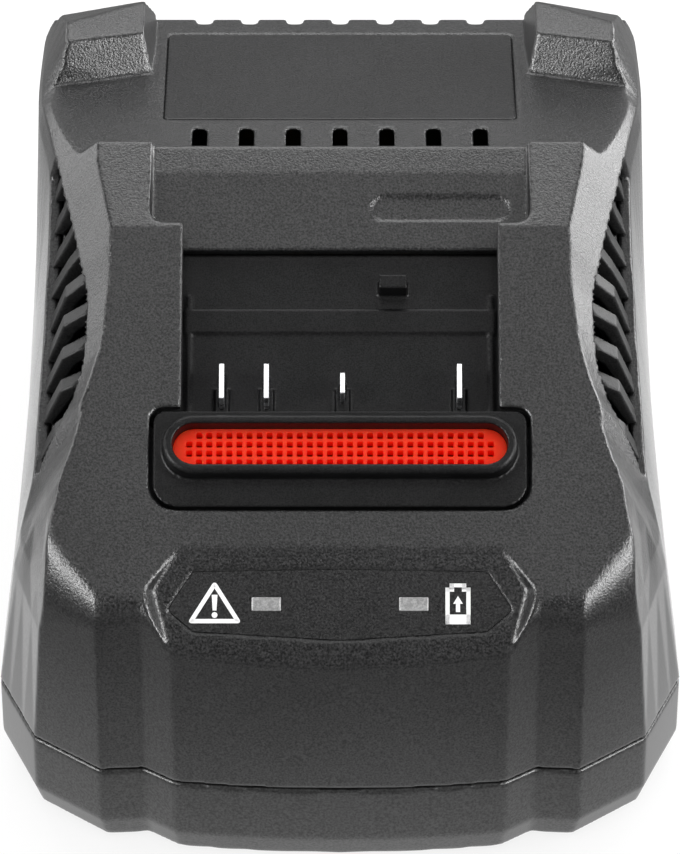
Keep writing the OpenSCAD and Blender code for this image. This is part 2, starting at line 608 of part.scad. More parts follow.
module contact_holder() {
    w = drop_w - 2 * fit;
    color("#2a2a2c") on_deck() difference() {
        union() {
            // floor under the contacts
            translate([-w / 2, -flange_v - eps, -floor_d - holder_t])
                cube([w, flange_v + landing_front - fit, holder_t]);
            translate([-well_w / 2 + fit, band_v, -floor_d - 0.5]) cube([well_w - 2 * fit, 4.9, 0.9]);
            // step up to the flange
            translate([-w / 2, -flange_v - holder_t, -floor_d - holder_t])
                cube([w, holder_t, floor_d + flange_top + eps]);
            translate([0, -flange_v - flange_l / 2, flange_top - holder_t])
                linear_extrude(holder_t) round_rect(flange_w, flange_l, 5, 2.5);
            // nozzle and its spigot
            translate([0, nozzle_v, flange_top - spigot_l]) linear_extrude(spigot_l + nozzle_h - flange_top - 0.6)
                stadium(nozzle_w, nozzle_d);
            translate([0, nozzle_v, nozzle_h - 0.6]) linear_extrude(0.6, scale = [1 - 1.2 / nozzle_w, 1 - 1.2 / nozzle_d])
                stadium(nozzle_w, nozzle_d);
            // coding post and the blades' sockets
            translate([code_x - 2.8, post_v - 1.45, -floor_d - eps]) cube([5.6, 2.9, 4.4]);
            for (b = BLADES)
                translate([b[0] - 1.35, blade_v - blade_l / 2 - 1.4, -floor_d - holder_t - 2.5])
                    cube([2.7, blade_l / 2 + 2, holder_t + 3.6]);
            // ears that are screwed to the underside of the landing
            holder_screw_places() translate([-4.5, -7.5, ear_w - holder_t]) cube([9, 12, holder_t]);
            translate([6, blade_v - 5.5, -floor_d]) sphere(r = 1.1, $fn = 20);
            for (x = [-1, 1]) translate([x * (well_w / 2 - 1.1), -25, -floor_d]) cube([0.8, 26, 0.6], center = true);
        }
        translate([0, nozzle_v, flange_top - spigot_l - 1]) linear_extrude(far)
            stadium(nozzle_w - 2 * nozzle_t, nozzle_d - 2 * nozzle_t);
        for (b = BLADES)
            translate([b[0] - blade_t / 2 - 0.05, blade_v - b[2] / 2 - 0.05, -floor_d - holder_t - 3])
                cube([blade_t + 0.1, b[2] + 0.1, 10]);
        holder_screw_places() translate([0, 0, ear_w - holder_t - 1]) cylinder(r = 1.3, h = 5, $fn = 24);
    }
}

module nozzle_mesh() {
    w = nozzle_w - 2 * nozzle_t - 0.1;
    d = nozzle_d - 2 * nozzle_t - 0.1;
    pitch_x = 1.97;
    pitch_v = 1.85;
    hole = 1.2;
    color("#f23c12") on_deck() translate([0, nozzle_v, nozzle_h - mesh_d - mesh_t]) difference() {
        linear_extrude(mesh_t) stadium(w, d);
        for (i = [-15 : 15]) for (j = [-1.5 : 1 : 1.5])
            if (abs(i) < 15 || abs(j) < 1)
                translate([i * pitch_x - hole / 2, j * pitch_v - hole / 2, -1]) cube([hole, hole, mesh_t + 2]);
    }
}

// One tinned contact blade: the part above the floor, its foot and its solder pin
module blade(b) {
    color("#d9d9dc") on_deck() {
        translate([b[0] - blade_t / 2, blade_v - b[2] / 2, -floor_d - holder_t - 3])
            cube([blade_t, b[2], b[1] + holder_t + 3]);
        translate([b[0] - blade_t / 2, blade_v - 1, -floor_d - holder_t - pin_l]) cube([blade_t, 2, pin_l]);
    }
}
module blade_negative() blade(BLADES[0]);
module blade_thermistor() blade(BLADES[1]);
module blade_code() blade(BLADES[2]);
module blade_positive() blade(BLADES[3]);

// ---------- name plate and indicator panel ----------

module plate_recess(g) {
    on_back() translate([0, plate_v + plate_l / 2, -plate_t]) linear_extrude(5)
        round_rect(2 * plate_hw + 2 * g, plate_l + 2 * g, 1.5, 1.5);
}
module name_plate() {
    color("#434345") on_back() translate([0, plate_v + plate_l / 2, -plate_t]) linear_extrude(plate_t)
        round_rect(2 * plate_hw, plate_l, 1.4, 1.4);
}

panel_v = -11;       // middle of the panel, along the terrace
module panel_outline(g) {
    offset(r = 0.8, $fn = 20) offset(delta = g - 0.8) polygon([
        [0, 6.4], [28.6, 5.9], [panel_hw, -1.4], [28.6, -5.6], [0, -7.3], [-28.6, -5.6], [-panel_hw, -1.4], [-28.6, 5.9]
    ]);
}
module at_lamps() for (s = [-1, 1]) translate([s * 14.35, panel_v - 0.3, 0]) children();
module panel_recess(g) {
    on_terrace() translate([0, panel_v, -film_t]) linear_extrude(9) panel_outline(g);
}
module lamp_holes(g) {
    on_terrace() at_lamps() translate([-lamp_w / 2 - g, -lamp_h / 2 - g, -20]) cube([lamp_w + 2 * g, lamp_h + 2 * g, 21]);
}
module indicator_film() {
    color("#353537") on_terrace() difference() {
        translate([0, panel_v, -film_t]) linear_extrude(film_t) panel_outline(0);
        at_lamps() translate([-lamp_w / 2, -lamp_h / 2, -20]) cube([lamp_w, lamp_h, 30]);
    }
}
guide_l = 7;
module light_guide() {
    translate([-lamp_w / 2 + 0.05, -lamp_h / 2 + 0.05, -guide_l]) cube([lamp_w - 0.1, lamp_h - 0.1, guide_l]);
}
module light_guide_left() color("#8c8c8c") on_terrace() translate([-14.35, panel_v - 0.3, 0]) light_guide();
module light_guide_right() color("#8c8c8c") on_terrace() translate([14.35, panel_v - 0.3, 0]) light_guide();
led_h = 1.4;
module indicator_leds() {
    color("#e9e9d8") on_terrace() at_lamps() translate([-1.6, -1.3, -guide_l - led_h]) cube([3.2, 2.6, led_h]);
}
panel_board_w = -guide_l - led_h - board_t;       // underside of the board, below the terrace
module at_panel_posts() for (s = [-1, 1]) translate([s * 21.5, panel_v + 1.5, 0]) children();
module indicator_board() {
    color("#1f5c3a") on_terrace() difference() {
        translate([-25, panel_v - 4, panel_board_w]) cube([50, 11, board_t]);
        at_panel_posts() translate([0, 0, panel_board_w - 1]) cylinder(r = 1.1, h = 5, $fn = 16);
    }
}

// ---------- side grilles ----------

grille_sink = 1;     // the louvres lie this far below the casing's skin
grille_t = 2.2;      // depth of the louvres
rail_in = wall + 0.3;
louvre_first = 47;   // station of the frontmost louvre
louvre_room = eye_rear - louvre_first - 3.2;    // up to a little before the opening's rear tip
louvres = floor(louvre_room / louvre_pitch) + 1;
// Section of a louvre at a station, as [x, z]
function louvre(d) =
    let (f = flank(d, grille_sink), e = 0.12)
    [
        [f[4][0] - e, f[4][1] + 0.2], [f[5][0] - e, f[5][1] - 0.1], [f[6][0] - e, f[6][1] - 0.2],
        [f[6][0] - grille_t, f[6][1] - 1.4], [f[5][0] - grille_t - 0.6, f[5][1] - 1.6], [f[4][0] - grille_t, f[4][1] + 0.2]
    ];
module louvre_slat(d) {
    translate([0, front + d + louvre_t / 2, 0]) rotate([90, 0, 0]) linear_extrude(louvre_t) polygon(louvre(d));
}
// Inner frame behind the eye: a strip that follows the upper and lower edges
module grille_frame() {
    n = 15;
    function pt(k, row) =
        let (d = eye_front + 1 + (eye_rear - eye_front - 4.6) * k / n, f = flank(d, rail_in)[row]) [f[0], front + d, f[1]];
    for (k = [0 : n - 1]) {
        hull() for (j = [0, 1]) translate(pt(k + j, 6)) translate([-2, 0, -0.6]) cube([2, 0.1, 2.4]);
        hull() for (j = [0, 1]) translate(pt(k + j, 4)) translate([-1.6, 0, -2.4]) cube([1.6, 0.1, 3]);
    }
}
module louvres_and_frame() {
    intersection() {
        union() for (i = [0 : louvres - 1]) louvre_slat(louvre_first + i * louvre_pitch);
        eye_fill();
    }
    intersection() {
        union() {
            grille_frame();
            // webs that tie each louvre to the frame
            for (i = [0 : louvres - 1]) {
                d = louvre_first + i * louvre_pitch;
                f = flank(d, rail_in);
                translate([0, front + d + 0.8, 0]) rotate([90, 0, 0]) linear_extrude(1.6)
                    polygon([f[4] + [1, 0], f[5] + [0.6, 0], f[6] + [1, 0], f[6] - [2, 0.5], f[5] - [2.2, 1], f[4] - [1.6, 0]]);
            }
        }
        crosswise_form(rail_in);
    }
}
// The louvres keep clear of the well's block
module side_grille() {
    difference() {
        louvres_and_frame();
        translate([fit, 0, 0]) well_block();
    }
}
module eye_fill() {
    rotate([90, 0, 90]) translate([0, 0, half_w - 30]) linear_extrude(far)
        offset(delta = -eye_rim - fit) polygon(concat(eye_upper(), eye_lower()));
}
module side_grille_right() color("#262628") side_grille();
module side_grille_left() color("#262628") mirror([1, 0, 0]) side_grille();

// ---------- fan, duct and nozzle ----------

fan_v = nozzle_v;
fan_top = flange_top - spigot_l - 12;          // fan frame's upper face below the deck
hub_r = 9;
bore_r = fan_size / 2 - 1;
blade_r = bore_r - fan_clear;
shaft_r = 1;
module on_fan() on_deck() translate([0, fan_v, fan_top - fan_d]) children();
module fan_holes() for (a = [45 : 90 : 315]) rotate(a) translate([(fan_size / 2 - 4) * sqrt(2), 0, 0]) children();

module fan_frame() {
    color("#1d1d1f") on_fan() {
        difference() {
            translate([-fan_size / 2, -fan_size / 2, 0]) cube([fan_size, fan_size, fan_d]);
            translate([0, 0, -1]) cylinder(r = bore_r, h = fan_d + 2);
            fan_holes() translate([0, 0, -1]) cylinder(r = 1.75, h = fan_d + 2);
        }
        difference() {
            union() {
                cylinder(r = hub_r, h = 1.2);
                for (a = [0 : 120 : 240]) rotate(a) translate([0, -1, 0]) cube([bore_r + 0.3, 2, 1.2]);
                cylinder(r = 3, h = 6.2);
            }
            translate([0, 0, -1]) cylinder(r = 2, h = 10);
        }
    }
}
module fan_bearing() {
    color("#b08d57") on_fan() difference() {
        cylinder(r = 2, h = 6.2);
        translate([0, 0, -1]) cylinder(r = shaft_r + 0.06, h = 10);
    }
}
module fan_rotor() {
    color("#26262a") on_fan() difference() {
        union() {
            difference() {
                translate([0, 0, 1.8]) cylinder(r = hub_r, h = fan_d - 2.6);
                translate([0, 0, 1]) cylinder(r = hub_r - 1.2, h = fan_d - 3.2);
            }
            translate([0, 0, 6.9]) cylinder(r = 2.6, h = fan_d - 8.2);
            for (i = [0 : fan_blades - 1]) rotate(i * 360 / fan_blades) intersection() {
                translate([hub_r - 0.6, 0, fan_d / 2]) rotate([38, 0, 0]) translate([0, -5.2, -0.5]) cube([blade_r, 10.4, 1]);
                difference() {
                    translate([0, 0, 2]) cylinder(r = blade_r, h = fan_d - 3);
                    translate([0, 0, 1]) cylinder(r = hub_r - 0.6, h = fan_d);
                }
            }
        }
        translate([0, 0, -1]) cylinder(r = shaft_r, h = fan_d - 0.4);
    }
}
module fan_shaft() {
    color("#c9c9cc") on_fan() translate([0, 0, 0.6]) cylinder(r = shaft_r, h = fan_d - 2);
}
duct_t = 1.4;
module air_duct() {
    top = flange_top - spigot_l;
    out_w = nozzle_w + 2 * fit + 2 * duct_t;
    out_d = nozzle_d + 2 * fit + 2 * duct_t;
    color("#232325") on_deck() difference() {
        union() {
            difference() {
                hull() {
                    translate([0, nozzle_v, top - 1]) linear_extrude(1) stadium(out_w, out_d);
                    translate([-fan_size / 2, fan_v - fan_size / 2, fan_top]) cube([fan_size, fan_size, 1]);
                }
                hull() {
                    translate([0, nozzle_v, top - 1]) linear_extrude(2) stadium(nozzle_w - 2 * nozzle_t, nozzle_d - 2 * nozzle_t);
                    translate([-fan_size / 2 + duct_t, fan_v - fan_size / 2 + duct_t, fan_top - 1])
                        cube([fan_size - 2 * duct_t, fan_size - 2 * duct_t, 1.5]);
                }
            }
            // collar that is pushed over the spigot
            translate([0, nozzle_v, top - 0.1]) linear_extrude(2.5) difference() {
                stadium(out_w, out_d);
                stadium(nozzle_w + 2 * fit, nozzle_d + 2 * fit);
            }
            translate([0, fan_v, fan_top]) fan_holes() cylinder(r = 2.8, h = 5, $fn = 20);
        }
        translate([0, fan_v, fan_top - 1]) fan_holes() cylinder(r = 1.2, h = 5.4, $fn = 16);
    }
}
module fan_screws() {
    color("#a9a9ad") on_fan() fan_holes() {
        translate([0, 0, -1.6]) cylinder(r = 2.8, h = 1.6);
        cylinder(r = 1.15, h = fan_d + 4);
    }
}
module fan_lead() {
    a = deck_point(0, fan_v + fan_size / 2 - 1.2, fan_top - fan_d);
    color("#b3261e") for (x = [7, 9.4]) lead([[x, a[1], a[2] - 0.4], [x, a[1], top_z]], 0.7);
}

// ---------- mains side, board and what stands on it ----------

board_w = 104;
board_l = 122;
board_front = front + 26;
board_screw_r = 1.05;
module at_board_posts() {
    for (s = [-1, 1]) for (d = [8, board_l - 8]) translate([s * (boss_x - 12), board_front + d, 0]) children();
}
module main_board() {
    color("#2c6b45") difference() {
        translate([-board_w / 2, board_front, board_z]) cube([board_w, board_l, board_t]);
        at_board_posts() translate([0, 0, board_z - 1]) cylinder(r = 1.5, h = 5, $fn = 24);
        // clearance for the case screw bosses
        at_case_screws() translate([0, 0, board_z - 1]) cylinder(r = 5.4, h = 5, $fn = 32);
    }
}
top_z = board_z + board_t;
module board_screws() {
    color("#a9a9ad") at_board_posts() {
        translate([0, 0, top_z]) cylinder(r = 2.8, h = 1.8);
        translate([0, 0, board_z - 5]) cylinder(r = board_screw_r, h = 5 + board_t);
    }
}
module case_screws() {
    color("#8f8f94") at_case_screws() {
        translate([0, 0, base_z + 5.6]) cylinder(r = 3, h = 2.4);
        translate([0, 0, base_z + 8]) cylinder(r = screw_r - 0.25, h = 24);
    }
}

xf_pos = [0, board_front + 80.5];
xf_core = [36, 12, 32];
module transformer_core() {
    color("#4a4a4e") translate([xf_pos[0], xf_pos[1], top_z + 2]) difference() {
        translate([-xf_core[0] / 2, -xf_core[1] / 2, 0]) cube(xf_core);
        for (s = [-1, 1]) translate([s * 10.5, 0, xf_core[2] / 2]) cube([7, 20, 22], center = true);
    }
}
module transformer_coil() {
    color("#c9a227") translate([xf_pos[0], xf_pos[1], top_z + 2 + xf_core[2] / 2]) difference() {
        union() {
            cylinder(r = 13.6, h = 17.4, center = true);
            for (s = [-1, 1]) translate([0, 0, s * 9.6]) cube([27.6, 30, 1.8], center = true);
            // bobbin's feet on the board
            for (s = [-1, 1]) translate([0, s * 12, -14.1]) cube([20, 4, 7.8], center = true);
        }
        cube([14.2, 12.2, 60], center = true);
        for (s = [-1, 1]) translate([s * 40, 0, 0]) cube([52.2, 12.2, 60], center = true);
    }
}
cap_r = 9;
module input_capacitor() {
    color("#22304a") translate([-34, board_front + 90.5, top_z + cap_r]) rotate([90, 0, 0]) cylinder(r = cap_r, h = 36, center = true);
}
module output_capacitors() {
    color("#1e2f5c") for (i = [0 : 2]) translate([-36 + i * 13, board_front + 28.5, top_z]) cylinder(r = 5, h = 20);
}
module finned_sink(l, h, n) {
    translate([-l / 2, -sink_t / 2, 0]) cube([l, sink_t, h]);
    for (i = [0 : n - 1]) translate([-l / 2 + i * (l - 1.4) / (n - 1), sink_t / 2 - eps, 3]) cube([1.4, 9, h - 3]);
}
sink_in = [37, board_front + 82.5];     // middles of the two heat sinks
sink_out = [5, board_front + 52.5];
sink_t = 2.4;                          // thickness of their back plates
module heat_sink_input() color("#9a9da1") translate([sink_in[0], sink_in[1], top_z]) rotate(-90) finned_sink(56, 26, 8);
module heat_sink_output() color("#9a9da1") translate([sink_out[0], sink_out[1], top_z]) finned_sink(52, 22, 8);
// Transistor with its back against the plane Y = 0 and its three legs in the board
module transistor() {
    translate([-5.1, -4.6, 3]) cube([10.2, 4.6, 16]);
    for (i = [-1 : 1]) translate([-0.4 + i * 2.5, -2.8, 0]) cube([0.8, 0.6, 3]);
}
module power_transistors() {
    color("#141416") {
        for (d = [-10.9, 9.1]) translate([sink_in[0] - sink_t / 2, sink_in[1] + d, top_z]) rotate(-90) transistor();
        for (d = [-10.9, 11.1]) translate([sink_out[0] + d, sink_out[1] - sink_t / 2, top_z]) transistor();
    }
}
module line_choke() {
    color("#b5651d") translate([4, board_front + 115.5, top_z + 11]) rotate([90, 0, 0])
        rotate_extrude() translate([7.5, 0]) circle(r = 3.5);
}
module line_filter_capacitor() color("#d7b400") translate([-26, board_front + 110.5, top_z]) cube([17, 9, 15]);
module fuse() {
    color("#c9c4b5") translate([26, board_front + 116, top_z + 4]) rotate([90, 0, 90]) {
        cylinder(r = 2.6, h = 20, center = true);
        for (s = [-1, 1]) translate([0, -2, s * 9]) cube([6, 4, 2], center = true);
    }
}

gland_x = 30;
gland_z = seam_z - 9;
gland_flange = 7.4;
module at_gland() translate([gland_x, rear, gland_z]) children();
module gland_hole() at_gland() rotate([90, 0, 0]) {
    translate([0, 0, -5]) cylinder(r = gland_flange - 1.6 + fit, h = 20);
    translate([0, 0, wall + fit / 2]) cylinder(r = gland_flange + fit, h = 8);
}
module mains_gland() {
    color("#161618") at_gland() rotate([90, 0, 0]) difference() {
        union() {
            translate([0, 0, -gland_out]) cylinder(r1 = 5, r2 = gland_flange, h = gland_out - fit);
            translate([0, 0, -fit]) cylinder(r = gland_flange - 1.6, h = wall + 2 * fit);
            translate([0, 0, wall + fit]) cylinder(r = gland_flange, h = 3);
        }
        translate([0, 0, -10]) cylinder(r = gland_r, h = 30);
    }
}

foot_seat = 0.8;
module at_feet() for (s = [-1, 1]) for (d = [18, body_l - 17]) translate([s * (half_w - 22), front + d, 0]) children();
module rubber_feet() {
    color("#202022") at_feet() cylinder(d = foot_d, h = foot_h + foot_seat);
}
module holder_screws() {
    color("#a9a9ad") on_deck() holder_screw_places() {
        translate([0, 0, ear_w - holder_t - 1.6]) cylinder(r = 2.6, h = 1.6);
        translate([0, 0, ear_w - holder_t]) cylinder(r = 1.15, h = holder_t + fit + screw_bite);
    }
}
// A point given in the deck's frame, as a point of the whole
function deck_point(x, v, w) =
    [x, deck_y + v * cos(deck_tilt) - w * sin(deck_tilt), deck_end_z + v * sin(deck_tilt) + w * cos(deck_tilt)];
// Round lead from point to point
module lead(points, r) {
    for (k = [0 : len(points) - 2]) {
        p = points[k];
        d = points[k + 1] - p;
        translate(p) rotate([0, acos(d[2] / norm(d)), atan2(d[1], d[0])]) cylinder(r = r, h = norm(d), $fn = 16);
        if (k > 0) translate(p) sphere(r = r, $fn = 16);
    }
}
module contact_leads() {
    color("#1b1b1d") for (b = [BLADES[0], BLADES[3]]) {
        a = deck_point(b[0], blade_v, -floor_d - holder_t - pin_l - 1.3);
        c = deck_point(b[0], -12, -floor_d - holder_t - pin_l - 1.3);
        lead([a, c, [c[0], c[1], top_z]], 1.3);
    }
}

top_shell();
bottom_shell();
contact_holder();
nozzle_mesh();
blade_negative();
blade_thermistor();
blade_code();
blade_positive();
name_plate();
indicator_film();
light_guide_left();
light_guide_right();
indicator_board();
indicator_leds();
side_grille_left();
side_grille_right();
main_board();
transformer_core();
transformer_coil();
input_capacitor();
output_capacitors();
heat_sink_input();
heat_sink_output();
power_transistors();
line_choke();
line_filter_capacitor();
fuse();
air_duct();
fan_frame();
fan_bearing();
fan_rotor();
fan_shaft();
mains_gland();
case_screws();
board_screws();
holder_screws();
fan_screws();
rubber_feet();
contact_leads();
fan_lead();
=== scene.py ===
import math
import bpy
from mathutils import Matrix, Vector


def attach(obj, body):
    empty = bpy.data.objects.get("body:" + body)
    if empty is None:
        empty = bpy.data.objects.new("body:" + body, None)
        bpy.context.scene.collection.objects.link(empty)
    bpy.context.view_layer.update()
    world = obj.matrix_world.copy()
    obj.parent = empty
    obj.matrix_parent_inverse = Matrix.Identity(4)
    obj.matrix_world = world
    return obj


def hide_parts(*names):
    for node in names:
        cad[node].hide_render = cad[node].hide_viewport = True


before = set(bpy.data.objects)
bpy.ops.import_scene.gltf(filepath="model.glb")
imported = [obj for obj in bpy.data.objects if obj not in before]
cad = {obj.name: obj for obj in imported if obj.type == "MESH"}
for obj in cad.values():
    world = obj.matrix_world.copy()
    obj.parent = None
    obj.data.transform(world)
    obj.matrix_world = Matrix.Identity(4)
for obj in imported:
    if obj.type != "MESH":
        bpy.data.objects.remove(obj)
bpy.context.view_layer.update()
bpy.ops.object.select_all(action="DESELECT")

# ---- Floor, light and camera ----
# A pale paper sweep under the charger, soft boxes behind it, beside it and above it, and two tall
# strips far in front that only glint on it. The camera sees the sweep nearly white with the
# charger's shadow on it, and it lights the charger as plain paper. In the charger's reflections
# the paper shows instead a painted pool of light, brightest close round the charger.
def colour(code):
    """sRGB hex to the linear colour that the shaders take."""
    parts = [int(code[i:i + 2], 16) / 255 for i in (1, 3, 5)]
    return [c / 12.92 if c <= 0.04045 else ((c + 0.055) / 1.055) ** 2.4 for c in parts] + [1.0]


def add(tree, kind, feeds=None, **settings):
    """A node of that kind in the tree. feeds gives each input's value, or the output that is
    linked to it. A Mix of colours takes them at 6 and 7 and gives them at 2."""
    made = tree.nodes.new(kind)
    for key, value in settings.items():
        setattr(made, key, value)
    for key, value in (feeds or {}).items():
        if isinstance(value, bpy.types.NodeSocket):
            tree.links.new(value, made.inputs[key])
        else:
            made.inputs[key].default_value = value
    return made


def blank(name):
    """A new material with nothing in it but its output."""
    finish = bpy.data.materials.new(name)
    finish.use_nodes = True
    finish.node_tree.nodes.clear()
    return finish, finish.node_tree, add(finish.node_tree, "ShaderNodeOutputMaterial")


bpy.context.scene.view_settings.view_transform = "Standard"
bpy.ops.mesh.primitive_plane_add(size=7)
floor = bpy.context.object
floor.name = "paper_floor"
paper, tree, out = blank("matt_white_paper")
seen = add(tree, "ShaderNodeLightPath")
mirrored = add(tree, "ShaderNodeMath", {
    0: seen.outputs["Is Glossy Ray"], 1: seen.outputs["Is Transmission Ray"]}, operation="MAXIMUM")
# what the camera sees of the paper is this share of plain white, and the shaded paper for the rest
PAPER_WHITE = 0.84
share = add(tree, "ShaderNodeMath", {
    0: seen.outputs["Is Camera Ray"], 1: PAPER_WHITE}, operation="MULTIPLY")
share = add(tree, "ShaderNodeMath", {
    0: share.outputs[0], 1: mirrored.outputs[0]}, operation="MAXIMUM")
# mirrored in the charger, the paper is a painted pool of light, brightest close round it and
# dimmer further out
PAINTED_POOL_MIDDLE = (0, 0.03, 0)
where = add(tree, "ShaderNodeTexCoord").outputs["Object"]
offset = add(tree, "ShaderNodeVectorMath", {0: where, 1: PAINTED_POOL_MIDDLE}, operation="SUBTRACT")
away = add(tree, "ShaderNodeVectorMath", {0: offset.outputs[0]}, operation="LENGTH")
painted_pool = add(tree, "ShaderNodeMapRange", {
    "Value": away.outputs["Value"], "From Min": 0.10, "From Max": 0.18,
    "To Min": 2.1, "To Max": 0.40})
level = add(tree, "ShaderNodeMix", {
    0: mirrored.outputs[0], 2: 1.0, 3: painted_pool.outputs[0]}, data_type="FLOAT")
fibre = add(tree, "ShaderNodeTexNoise", {"Scale": 900.0, "Detail": 3.0})
tone = add(tree, "ShaderNodeMix", {
    0: fibre.outputs[0], 6: colour("#e9e9e9"), 7: colour("#efefee")}, data_type="RGBA")
matt = add(tree, "ShaderNodeBsdfDiffuse", {"Color": tone.outputs[2]})
lit = add(tree, "ShaderNodeEmission", {"Color": (1, 1, 1, 1), "Strength": level.outputs[0]})
mixed = add(tree, "ShaderNodeMixShader", {
    0: share.outputs[0], 1: matt.outputs[0], 2: lit.outputs[0]})
tree.links.new(mixed.outputs[0], out.inputs["Surface"])
floor.data.materials.append(paper)

# the room: an even fill for matt surfaces, and for the others a pale wall that darkens upwards
world = bpy.data.worlds.new("studio")
bpy.context.scene.world = world
world.use_nodes = True
tree = world.node_tree
tree.nodes.clear()
seen = add(tree, "ShaderNodeLightPath")
direct = add(tree, "ShaderNodeMath", {
    0: seen.outputs["Is Camera Ray"], 1: seen.outputs["Is Glossy Ray"]}, operation="MAXIMUM")
open_sky = add(tree, "ShaderNodeMath", {
    0: direct.outputs[0], 1: seen.outputs["Is Transmission Ray"]}, operation="MAXIMUM")
fill = add(tree, "ShaderNodeBackground", {"Color": (1, 1, 1, 1), "Strength": 0.90})
outward = add(tree, "ShaderNodeTexCoord").outputs["Generated"]
height = add(tree, "ShaderNodeSeparateXYZ", {0: outward})
pale = add(tree, "ShaderNodeMapRange", {
    "Value": height.outputs["Z"], "From Min": 0.12, "From Max": 0.42,
    "To Min": 1.0, "To Max": 0.06})
white = add(tree, "ShaderNodeBackground", {"Color": (1, 1, 1, 1), "Strength": pale.outputs[0]})
mixed = add(tree, "ShaderNodeMixShader", {
    0: open_sky.outputs[0], 1: fill.outputs[0], 2: white.outputs[0]})
sky = add(tree, "ShaderNodeOutputWorld", {"Surface": mixed.outputs[0]})

# each box's direction and height in degrees, its distance, width and height in metres, its power
# in watts, and whether it only glints
LIT_POINT = Vector((0, 0, 0.05))
for name, turn, rise, away, wide, high, power, glint in (
        ("soft_box_behind", 180, 50, 1.2, 1.4, 0.6, 16.0, False),
        ("soft_box_right", 118, 10, 1.0, 0.9, 0.4, 14.0, False),
        ("soft_box_left", -118, 10, 1.0, 0.9, 0.4, 5.0, False),
        ("soft_box_above", 0, 82, 1.2, 0.7, 0.7, 3.0, False),
        ("strip_front_left", -60, 30, 2.4, 0.5, 1.1, 94.0, True),
        ("strip_front_right", 60, 30, 2.4, 0.5, 1.1, 104.0, True)):
    turn, rise = math.radians(turn), math.radians(rise)
    towards = Vector((math.sin(turn) * math.cos(rise), -math.cos(turn) * math.cos(rise),
                      math.sin(rise)))
    bpy.ops.object.light_add(type="AREA", location=LIT_POINT + away * towards)
    lamp = bpy.context.object
    lamp.name = name
    lamp.data.shape, lamp.data.energy = "RECTANGLE", power
    lamp.data.size, lamp.data.size_y = wide, high
    lamp.rotation_euler = (-towards).to_track_quat("-Z", "Y").to_euler()
    lamp.visible_diffuse = not glint

# the camera looks down at 42 degrees from 1.2 m, through a long lens
aim = Vector((0, -0.006, 0.043))
rise = math.radians(42)
place = aim + 1.2 * Vector((0, -math.cos(rise), math.sin(rise)))
looking = (aim - place).to_track_quat("-Z", "Y").to_euler()
bpy.ops.object.camera_add(location=place, rotation=looking)
camera = bpy.context.object
camera.data.lens = 245.85
camera.data.clip_start, camera.data.clip_end = 0.01, 30
bpy.context.scene.camera = camera

# ---- Casing shells ----
# Two injection-moulded halves of black ABS. The mould was spark-eroded, so the sloping top has a
# fine even grain that catches the light. The walls slide out of the mould and are smoother.
MM = 0.001
DECK_SLOPE = 29.0       # degrees


def take_up(piece):
    """The piece becomes the only selected and active object."""
    bpy.ops.object.select_all(action="DESELECT")
    piece.select_set(True)
    bpy.context.view_layer.objects.active = piece


def moulded_copy(node, name, voxel, rounds, tilt=DECK_SLOPE, limit=190000):
    """A copy of a CAD node with the soft edges of a moulding, and the node itself hidden. It is
    remade from voxels of that many millimetres, eased in rounds, and thinned to the limit of
    triangles. Meanwhile it is turned back by tilt, so that its main face lies flat."""
    piece = cad[node].copy()
    piece.data = cad[node].data.copy()
    piece.name = piece.data.name = name
    piece.parent = None
    bpy.context.scene.collection.objects.link(piece)
    piece.matrix_world = Matrix.Identity(4)
    take_up(piece)
    bpy.ops.object.mode_set(mode="EDIT")
    bpy.ops.mesh.select_all(action="SELECT")
    bpy.ops.mesh.remove_doubles(threshold=0.002 * MM)
    bpy.ops.object.mode_set(mode="OBJECT")
    piece.rotation_euler = (math.radians(-tilt), 0, 0)
    bpy.ops.object.transform_apply(location=True, rotation=True, scale=True)
    fine = piece.modifiers.new("even_skin", "REMESH")
    fine.mode, fine.voxel_size, fine.use_smooth_shade = "VOXEL", voxel * MM, True
    soft = piece.modifiers.new("eased_edges", "SMOOTH")
    soft.factor, soft.iterations = 0.5, rounds
    bpy.ops.object.modifier_apply(modifier=fine.name)
    bpy.ops.object.modifier_apply(modifier=soft.name)
    count = sum(len(p.vertices) - 2 for p in piece.data.polygons)
    if count > limit:
        thin = piece.modifiers.new("thinned", "DECIMATE")
        thin.ratio = limit / count
        bpy.ops.object.modifier_apply(modifier=thin.name)
    piece.rotation_euler = (math.radians(tilt), 0, 0)
    bpy.ops.object.transform_apply(location=True, rotation=True, scale=True)
    bpy.ops.object.shade_smooth()
    piece.data.materials.clear()
    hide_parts(node)
    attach(piece, "charger")
    return piece


